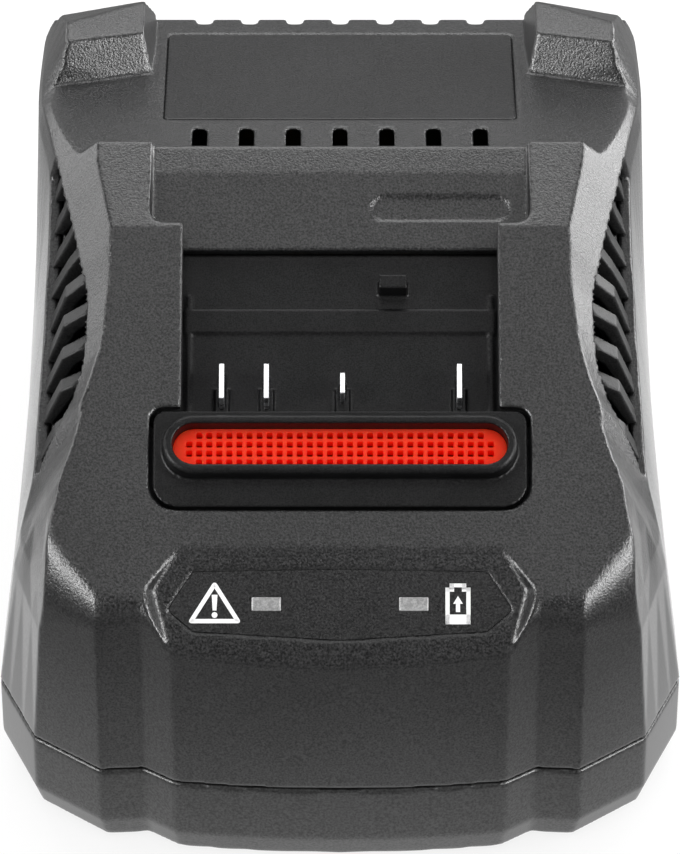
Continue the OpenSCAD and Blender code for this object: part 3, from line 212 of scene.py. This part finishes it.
def grained(name, dark, light, patch, grain, depth, rough, level=0.5, metallic=0.0,
            smooth_below=None):
    """A skin whose tone drifts over patches, and whose fine grain is a bump of that depth and
    varies the roughness over the range given, and on plastics the specular level by 30%. Sizes
    are in millimetres. The grain fades out between the two heights of smooth_below."""
    finish, tree, out = blank(name)
    where = add(tree, "ShaderNodeTexCoord").outputs["Object"]
    drift = add(tree, "ShaderNodeTexNoise", {
        "Vector": where, "Scale": 1 / (patch * MM), "Detail": 2.0})
    specks = add(tree, "ShaderNodeTexNoise", {
        "Vector": where, "Scale": 1 / (grain * MM), "Detail": 2.0, "Roughness": 0.6})
    both = add(tree, "ShaderNodeMath", {
        0: drift.outputs[0], 1: specks.outputs[0]}, operation="MULTIPLY")
    spread = add(tree, "ShaderNodeMapRange", {
        "Value": both.outputs[0], "From Min": 0.17, "From Max": 0.34})
    tone = add(tree, "ShaderNodeMix", {
        0: spread.outputs[0], 6: colour(dark), 7: colour(light)}, data_type="RGBA")
    matt = add(tree, "ShaderNodeMapRange", {
        "Value": specks.outputs[0], "From Min": 0.3, "From Max": 0.7,
        "To Min": rough[0], "To Max": rough[1]})
    shine = level
    if not metallic:
        shine = add(tree, "ShaderNodeMapRange", {
            "Value": specks.outputs[0], "From Min": 0.34, "From Max": 0.66,
            "To Min": 0.7 * level, "To Max": 1.3 * level}).outputs[0]
    strength = 1.0
    if smooth_below:
        height = add(tree, "ShaderNodeSeparateXYZ", {0: where})
        strength = add(tree, "ShaderNodeMapRange", {
            "Value": height.outputs["Z"], "From Min": smooth_below[0] * MM,
            "From Max": smooth_below[1] * MM, "To Min": 0.15, "To Max": 1.0}).outputs[0]
    bump = add(tree, "ShaderNodeBump", {
        "Height": specks.outputs[0], "Distance": depth * MM, "Strength": strength})
    skin = add(tree, "ShaderNodeBsdfPrincipled", {
        "Base Color": tone.outputs[2], "Roughness": matt.outputs[0], "Normal": bump.outputs[0],
        "Metallic": metallic, "Specular IOR Level": shine})
    tree.links.new(skin.outputs[0], out.inputs["Surface"])
    return finish


# the pits are about 0.3 mm apart, and drawn at 0.42 mm so that they show
eroded_abs = grained("spark_eroded_abs", "#0c0c0d", "#171718", patch=30, grain=0.42, depth=0.10,
                     rough=(0.28, 0.42), level=0.50, smooth_below=(50, 62))
top_shell = moulded_copy("top_shell", "casing_top", 0.50, 3)
top_shell.data.materials.append(eroded_abs)
# the lower half's wall is polished in the mould, with a weak grain left
lower_abs = grained("smooth_moulded_abs", "#090909", "#121213", patch=30, grain=0.5, depth=0.03,
                    rough=(0.36, 0.46), level=0.50)
bottom_shell = moulded_copy("bottom_shell", "casing_bottom", 0.65, 3, tilt=0.0, limit=150000)
bottom_shell.data.materials.append(lower_abs)

# ---- Side grilles ----
# Slanting louvres in each side opening, moulded in one piece with the frame behind them, in black
# ABS with the same eroded grain. They sit a little below the casing's skin.
louvre_abs = grained("black_louvre_abs", "#080809", "#0f0f10", patch=20, grain=0.40, depth=0.04,
                     rough=(0.42, 0.58), level=0.30)
for side in ("left", "right"):
    grille = moulded_copy("side_grille_" + side, "louvres_" + side, 0.30, 2, tilt=0.0,
                          limit=120000)
    grille.data.materials.append(louvre_abs)

# ---- Name plate ----
# A bare plate of the casing's plastic, pressed into its recess behind the crest. Its face is a
# shade finer and darker than the casing's and its edges are rounded over.
plate_abs = grained("fine_eroded_plate_abs", "#0a0a0b", "#141415", patch=30, grain=0.38,
                    depth=0.05, rough=(0.32, 0.44), level=0.30)
plate = moulded_copy("name_plate", "bare_plate", 0.30, 2, tilt=-12.0, limit=120000)
plate.data.materials.append(plate_abs)

# ---- Contact holder ----
# Glass-filled polyamide, moulded: the floor under the battery's contacts, the flange and the air
# nozzle. It is blacker and smoother than the casing, with a faint cloud of fibres in its skin.
filled_nylon = grained("glass_filled_nylon", "#070708", "#0f0f10", patch=8, grain=0.30,
                       depth=0.020, rough=(0.36, 0.50), level=0.16)
holder = moulded_copy("contact_holder", "contact_block", 0.34, 2)
holder.data.materials.append(filled_nylon)

# ---- Nozzle mesh ----
# Orange-red thermoplastic elastomer, moulded over the nozzle: a lattice with small square holes.
# The rubber is matt and slightly translucent, and a weak painted glow of its own stands in for the
# light that it passes on.
lattice = moulded_copy("nozzle_mesh", "air_mesh", 0.14, 2)
elastomer, tree, out = blank("orange_thermoplastic_elastomer")
where = add(tree, "ShaderNodeTexCoord").outputs["Object"]
specks = add(tree, "ShaderNodeTexNoise", {
    "Vector": where, "Scale": 1 / (0.4 * MM), "Detail": 3.0})
drift = add(tree, "ShaderNodeTexNoise", {"Vector": where, "Scale": 1 / (4 * MM), "Detail": 2.0})
tone = add(tree, "ShaderNodeMix", {
    0: drift.outputs[0], 6: colour("#ff2c04"), 7: colour("#ff3c0e")}, data_type="RGBA")
bump = add(tree, "ShaderNodeBump", {"Height": specks.outputs[0], "Distance": 0.03 * MM})
# the weak emission is a painted glow, not a lamp
skin = add(tree, "ShaderNodeBsdfPrincipled", {
    "Base Color": tone.outputs[2], "Roughness": 0.55, "Normal": bump.outputs[0],
    "Specular IOR Level": 0.12, "Emission Color": colour("#ff1400"), "Emission Strength": 0.08,
    "Subsurface Weight": 0.8, "Subsurface Radius": (4 * MM, 0.5 * MM, 0.2 * MM),
    "Subsurface Scale": 1.0})
tree.links.new(skin.outputs[0], out.inputs["Surface"])
lattice.data.materials.append(elastomer)

# ---- Contact blades ----
# Stamped copper strip, hot tinned: bright, with the faint clouding and long draw lines of the tin.
# The stamped edges are broken so that the battery's springs slide over them.
def eased(node, width, segments=2):
    """Broken edges of that many millimetres on a CAD node, whose loose triangles are welded."""
    weld = cad[node].modifiers.new("weld", "WELD")
    weld.merge_threshold = 0.005 * MM
    edge = cad[node].modifiers.new("broken_edges", "BEVEL")
    edge.width, edge.segments = width * MM, segments
    edge.limit_method, edge.angle_limit = "ANGLE", math.radians(35)
    edge.use_clamp_overlap = True


def dress(finish, *nodes):
    """The finish goes on these CAD nodes."""
    for node in nodes:
        cad[node].data.materials.clear()
        cad[node].data.materials.append(finish)


tin, tree, out = blank("hot_tinned_copper")
where = add(tree, "ShaderNodeTexCoord").outputs["Object"]
along = add(tree, "ShaderNodeMapping", {"Vector": where, "Scale": (1.0, 0.08, 1.0)})
lines = add(tree, "ShaderNodeTexNoise", {
    "Vector": along.outputs[0], "Scale": 1 / (0.12 * MM), "Detail": 3.0})
cloud = add(tree, "ShaderNodeTexNoise", {
    "Vector": where, "Scale": 1 / (1.5 * MM), "Detail": 2.0})
tone = add(tree, "ShaderNodeMix", {
    0: cloud.outputs[0], 6: colour("#d2d3d6"), 7: colour("#ececee")}, data_type="RGBA")
matt = add(tree, "ShaderNodeMapRange", {
    "Value": cloud.outputs[0], "From Min": 0.3, "From Max": 0.7, "To Min": 0.20, "To Max": 0.36})
bump = add(tree, "ShaderNodeBump", {"Height": lines.outputs[0], "Distance": 0.008 * MM})
skin = add(tree, "ShaderNodeBsdfPrincipled", {
    "Base Color": tone.outputs[2], "Metallic": 1.0, "Roughness": matt.outputs[0],
    "Normal": bump.outputs[0]})
tree.links.new(skin.outputs[0], out.inputs["Surface"])
for node in ("blade_negative", "blade_thermistor", "blade_code", "blade_positive"):
    eased(node, 0.22, 3)
    dress(tin, node)

# ---- Indicator panel ----
# A printed polycarbonate film with the casing's grain, sunk in its recess. Its white symbols are
# screen printed, and two windows show the ends of milky light guides over the lamps on the small
# board.
film_face = grained("grained_polycarbonate_film", "#09090a", "#141415", patch=20, grain=0.40,
                    depth=0.10, rough=(0.38, 0.52), level=0.28)
eased("indicator_film", 0.12)
dress(film_face, "indicator_film")
guide_face = grained("milky_polycarbonate", "#828282", "#a0a0a0", patch=1.2, grain=0.35,
                     depth=0.03, rough=(0.38, 0.5), level=0.45)
eased("light_guide_left", 0.3)
eased("light_guide_right", 0.3)
dress(guide_face, "light_guide_left", "light_guide_right")

ink, tree, out = blank("white_screen_ink")
where = add(tree, "ShaderNodeTexCoord").outputs["Object"]
specks = add(tree, "ShaderNodeTexNoise", {
    "Vector": where, "Scale": 1 / (0.3 * MM), "Detail": 2.0})
tone = add(tree, "ShaderNodeMix", {
    0: specks.outputs[0], 6: colour("#e9e9e9"), 7: colour("#ffffff")}, data_type="RGBA")
bump = add(tree, "ShaderNodeBump", {"Height": specks.outputs[0], "Distance": 0.01 * MM})
skin = add(tree, "ShaderNodeBsdfPrincipled", {
    "Base Color": tone.outputs[2], "Roughness": 0.5, "Normal": bump.outputs[0]})
tree.links.new(skin.outputs[0], out.inputs["Surface"])

# the film's face is 13 degrees steeper than the deck, from a line 66.6 mm down it
DECK = (Matrix.Translation((0, -0.0115, 0.1015))
        @ Matrix.Rotation(math.radians(DECK_SLOPE), 4, "X"))
TERRACE = (DECK @ Matrix.Translation((0, -66.6 * MM, 0))
           @ Matrix.Rotation(math.radians(13), 4, "X"))
SQUARE = math.sqrt(0.5) * MM            # radius of the corners of a square millimetre
PRINT = 0.02 * MM                       # thickness of the ink


def flat_shape(corners, centre, radius, turn=0.0, stretch=(1.0, 1.0), rounding=0.0, line=0.0):
    """A flat printed shape round a centre on the film: corners, rounded by rounding, and only an
    outline of that width if line is given."""
    bpy.ops.object.select_all(action="DESELECT")
    bpy.ops.mesh.primitive_circle_add(vertices=corners, radius=radius, fill_type="NGON",
                                      location=(0, 0, 0))
    shape = bpy.context.object
    shape.rotation_euler = (0, 0, turn)
    bpy.ops.object.transform_apply(location=False, rotation=True, scale=False)
    shape.scale = (stretch[0], stretch[1], 1)
    bpy.ops.object.transform_apply(location=False, rotation=False, scale=True)
    bpy.ops.object.mode_set(mode="EDIT")
    bpy.ops.mesh.select_all(action="SELECT")
    if rounding:
        bpy.ops.mesh.bevel(offset=rounding, segments=5, affect="VERTICES")
    if line:
        bpy.ops.mesh.select_mode(type="FACE")
        bpy.ops.mesh.select_all(action="SELECT")
        bpy.ops.mesh.inset(thickness=line)
        bpy.ops.mesh.delete(type="FACE")
        bpy.ops.mesh.select_all(action="SELECT")
    bpy.ops.mesh.extrude_region_move(TRANSFORM_OT_translate={"value": (0, 0, PRINT)})
    bpy.ops.mesh.select_all(action="SELECT")
    bpy.ops.mesh.normals_make_consistent(inside=False)
    bpy.ops.object.mode_set(mode="OBJECT")
    shape.location = (centre[0], centre[1], 0)
    bpy.ops.object.transform_apply(location=True, rotation=False, scale=False)
    return shape


def printed(name, shapes):
    """The shapes joined, laid on the film's face and printed in white."""
    take_up(shapes[0])
    for shape in shapes:
        shape.select_set(True)
    bpy.ops.object.join()
    sign = bpy.context.object
    sign.name = sign.data.name = name
    sign.matrix_world = TERRACE
    bpy.ops.object.transform_apply(location=True, rotation=True, scale=True)
    sign.data.materials.clear()
    sign.data.materials.append(ink)
    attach(sign, "charger")


# warning triangle: a rounded outline, a bar that tapers downwards and a dot
point = (-24.39 * MM, -12.26 * MM)
triangle = flat_shape(3, point, 5.58 * MM, stretch=(1.10, 1.0), rounding=0.9 * MM, line=0.84 * MM)
bar = flat_shape(4, (point[0], point[1] + 1.23 * MM), SQUARE, turn=math.pi / 4,
                 stretch=(1.13, 3.06))
for corner in bar.data.vertices:
    if corner.co.y < point[1]:
        corner.co.x = point[0] + (corner.co.x - point[0]) * 0.65
dot = flat_shape(16, (point[0], point[1] - 1.18 * MM), 0.57 * MM)
printed("warning_symbol", [triangle, bar, dot])

# battery: its strips, each with its middle and its width and height in millimetres, and an arrow
point = (22.94 * MM, -11.67 * MM)
STRIPS = (
    (-2.03, 0, (0.82, 7.15)), (2.03, 0, (0.82, 7.15)),          # sides
    (0, -2.63, (4.87, 1.9)),                                    # filled base
    (-1.6, 3.17, (1.69, 0.8)), (1.6, 3.17, (1.69, 0.8)),        # shoulders
    (-1.2, 3.77, (0.84, 1.2)), (1.2, 3.77, (0.84, 1.2)),        # the open pole's sides
    (0, 4.0, (3.24, 0.74)),                                     # the pole's top
    (0, -0.35, (0.82, 1.7)))                                    # the arrow's shaft
parts = [flat_shape(4, (point[0] + x * MM, point[1] + y * MM), SQUARE, turn=math.pi / 4,
                    stretch=size)
         for x, y, size in STRIPS]
parts.append(flat_shape(3, (point[0], point[1] + 0.93 * MM), 1.02 * MM, stretch=(1.06, 1.0)))
printed("battery_symbol", parts)

# ---- Cooling fan and duct ----
# A square brushless fan in glass-filled polyester, screwed under a moulded duct that leads to the
# nozzle. The rotor's steel shaft turns in a sintered bronze bush, and all screws are zinc plated.
fan_plastic = grained("glass_filled_polyester", "#161618", "#1f1f22", patch=6, grain=0.3,
                      depth=0.01, rough=(0.4, 0.55), level=0.45)
duct_plastic = grained("black_moulded_duct", "#1a1a1c", "#242427", patch=10, grain=0.4,
                       depth=0.02, rough=(0.45, 0.6), level=0.4)
bronze = grained("sintered_bronze", "#8a6a3c", "#b08d57", patch=0.8, grain=0.15, depth=0.01,
                 rough=(0.35, 0.5), metallic=1.0)
bright_steel = grained("ground_steel", "#b4b6ba", "#cfd0d3", patch=2, grain=0.08, depth=0.003,
                       rough=(0.2, 0.32), metallic=1.0)
zinc = grained("zinc_plated_steel", "#9a9b9e", "#bfc0c4", patch=1.5, grain=0.2, depth=0.006,
               rough=(0.28, 0.42), metallic=1.0)
eased("fan_frame", 0.4)
eased("fan_rotor", 0.15)
eased("air_duct", 0.4)
for node in ("fan_shaft", "fan_bearing", "case_screws", "board_screws", "holder_screws",
             "fan_screws"):
    eased(node, 0.15)
dress(fan_plastic, "fan_frame", "fan_rotor")
dress(duct_plastic, "air_duct")
dress(bronze, "fan_bearing")
dress(bright_steel, "fan_shaft")
dress(zinc, "case_screws", "board_screws", "holder_screws", "fan_screws")

# ---- Circuit boards ----
# Green solder resist over copper tracks on glass-epoxy board. The tracks show as slightly raised,
# lighter lanes under the glossy lacquer. The small board carries the two epoxy lamps.
resist, tree, out = blank("green_solder_resist")
where = add(tree, "ShaderNodeTexCoord").outputs["Object"]
tracks = add(tree, "ShaderNodeTexBrick", {
    "Vector": where, "Scale": 120.0, "Mortar Size": 0.035, "Mortar Smooth": 0.2,
    "Brick Width": 0.9, "Row Height": 0.32, "Color1": colour("#1c5a38"),
    "Color2": colour("#174e30"), "Mortar": colour("#2c7a4c")})
weave = add(tree, "ShaderNodeTexNoise", {
    "Vector": where, "Scale": 1 / (0.6 * MM), "Detail": 2.0})
tone = add(tree, "ShaderNodeMix", {
    0: 0.18, 6: tracks.outputs["Color"], 7: weave.outputs["Color"]},
    data_type="RGBA", blend_type="OVERLAY")
bump = add(tree, "ShaderNodeBump", {"Height": tracks.outputs["Fac"], "Distance": 0.04 * MM})
skin = add(tree, "ShaderNodeBsdfPrincipled", {
    "Base Color": tone.outputs[2], "Roughness": 0.25, "Normal": bump.outputs[0]})
tree.links.new(skin.outputs[0], out.inputs["Surface"])
for node in ("main_board", "indicator_board"):
    eased(node, 0.2)
dress(resist, "main_board", "indicator_board")
lamp_body = grained("clear_epoxy_lamp", "#d8d6c4", "#efeee0", patch=1, grain=0.3, depth=0.01,
                    rough=(0.15, 0.25), level=0.5)
eased("indicator_leds", 0.3)
dress(lamp_body, "indicator_leds")

# ---- Transformer and choke ----
# A sintered ferrite core round a coil that is closed with amber polyester tape, and a ring choke
# wound with enamelled copper wire, whose turns stand about a millimetre apart.
ferrite = grained("sintered_ferrite", "#2c2c30", "#434348", patch=4, grain=0.3, depth=0.04,
                  rough=(0.5, 0.7), level=0.4)
tape, tree, out = blank("amber_polyester_tape")
where = add(tree, "ShaderNodeTexCoord").outputs["Object"]
turns = add(tree, "ShaderNodeTexWave", {
    "Vector": where, "Scale": 1 / (6.5 * MM), "Distortion": 0.6, "Detail": 1.0},
    bands_direction="Z")
tone = add(tree, "ShaderNodeMix", {
    0: turns.outputs["Fac"], 6: colour("#b98a12"), 7: colour("#e0b43a")}, data_type="RGBA")
bump = add(tree, "ShaderNodeBump", {"Height": turns.outputs["Fac"], "Distance": 0.08 * MM})
skin = add(tree, "ShaderNodeBsdfPrincipled", {
    "Base Color": tone.outputs[2], "Roughness": 0.28, "Normal": bump.outputs[0]})
tree.links.new(skin.outputs[0], out.inputs["Surface"])

# the wire's turns are bands of angle round the ring's own axis; each turn's colour runs from a
# painted highlight on its crest to painted shade in the grooves between the turns
TURNS = 44
copper, tree, out = blank("enamelled_copper_wire")
where = add(tree, "ShaderNodeTexCoord").outputs["Object"]
centred = add(tree, "ShaderNodeMapping", {
    "Vector": where, "Location": (-0.004, -0.053, -0.0236)})
upright = add(tree, "ShaderNodeMapping", {
    "Vector": centred.outputs[0], "Rotation": (math.pi / 2, 0, 0)})
wire = add(tree, "ShaderNodeTexGradient", {"Vector": upright.outputs[0]}, gradient_type="RADIAL")
strand = add(tree, "ShaderNodeMath", {
    0: wire.outputs[1], 1: 2 * math.pi * TURNS}, operation="MULTIPLY")
strand = add(tree, "ShaderNodeMath", {0: strand.outputs[0]}, operation="SINE")
tone = add(tree, "ShaderNodeMapRange", {
    "Value": strand.outputs[0], "From Min": -1.0, "From Max": 1.0})
# painted highlight on each turn's crest and painted shade in the grooves between turns
tone = add(tree, "ShaderNodeMix", {
    0: tone.outputs[0], 6: colour("#6e3413"), 7: colour("#c9743a")}, data_type="RGBA")
bump = add(tree, "ShaderNodeBump", {"Height": strand.outputs[0], "Distance": 0.2 * MM})
skin = add(tree, "ShaderNodeBsdfPrincipled", {
    "Base Color": tone.outputs[2], "Metallic": 0.8, "Roughness": 0.3, "Normal": bump.outputs[0]})
tree.links.new(skin.outputs[0], out.inputs["Surface"])
eased("transformer_core", 0.4)
eased("transformer_coil", 0.3)
dress(ferrite, "transformer_core")
dress(tape, "transformer_coil")
dress(copper, "line_choke")

# ---- Capacitors, fuse, transistors and heat sinks ----
# Aluminium cans in blue shrink sleeves, a yellow moulded film capacitor and a ceramic fuse. The
# transistors are black epoxy, screwed to extruded sinks whose faces keep fine lines from the die.
sleeve = grained("blue_shrink_sleeve", "#18264a", "#22356a", patch=6, grain=0.6, depth=0.03,
                 rough=(0.22, 0.34), level=0.5)
film_box = grained("yellow_moulded_box", "#c7a408", "#dcb91a", patch=4, grain=0.4, depth=0.02,
                   rough=(0.25, 0.4), level=0.5)
ceramic = grained("glazed_ceramic", "#bdb8a8", "#d6d1c1", patch=2, grain=0.3, depth=0.01,
                  rough=(0.25, 0.4), level=0.5)
epoxy = grained("moulded_epoxy", "#101012", "#1a1a1d", patch=3, grain=0.25, depth=0.02,
                rough=(0.4, 0.55), level=0.45)
extruded, tree, out = blank("extruded_aluminium")
where = add(tree, "ShaderNodeTexCoord").outputs["Object"]
along = add(tree, "ShaderNodeMapping", {"Vector": where, "Scale": (1.0, 1.0, 0.04)})
die = add(tree, "ShaderNodeTexNoise", {
    "Vector": along.outputs[0], "Scale": 1 / (0.25 * MM), "Detail": 3.0})
tone = add(tree, "ShaderNodeMix", {
    0: die.outputs[0], 6: colour("#b2b5b9"), 7: colour("#cfd1d4")}, data_type="RGBA")
bump = add(tree, "ShaderNodeBump", {"Height": die.outputs[0], "Distance": 0.01 * MM})
skin = add(tree, "ShaderNodeBsdfPrincipled", {
    "Base Color": tone.outputs[2], "Metallic": 1.0, "Roughness": 0.34, "Normal": bump.outputs[0]})
tree.links.new(skin.outputs[0], out.inputs["Surface"])
for node, width in (("input_capacitor", 0.8), ("output_capacitors", 0.6),
                    ("line_filter_capacitor", 0.5), ("fuse", 0.3), ("power_transistors", 0.2),
                    ("heat_sink_input", 0.2), ("heat_sink_output", 0.2)):
    eased(node, width)
dress(sleeve, "input_capacitor", "output_capacitors")
dress(film_box, "line_filter_capacitor")
dress(ceramic, "fuse")
dress(epoxy, "power_transistors")
dress(extruded, "heat_sink_input", "heat_sink_output")

# ---- Leads, gland and feet ----
# PVC-insulated leads join the blades and the fan to the board. The cord's gland and the four feet
# are black rubber, moulded, with a dull skin.
insulation = grained("soft_pvc", "#141416", "#1e1e20", patch=4, grain=0.4, depth=0.01,
                     rough=(0.35, 0.5), level=0.45)
rubber = grained("moulded_black_rubber", "#121213", "#1d1d1e", patch=5, grain=0.5, depth=0.03,
                 rough=(0.6, 0.78), level=0.35)
eased("mains_gland", 0.4)
eased("rubber_feet", 0.5)
dress(insulation, "contact_leads", "fan_lead")
dress(rubber, "mains_gland", "rubber_feet")
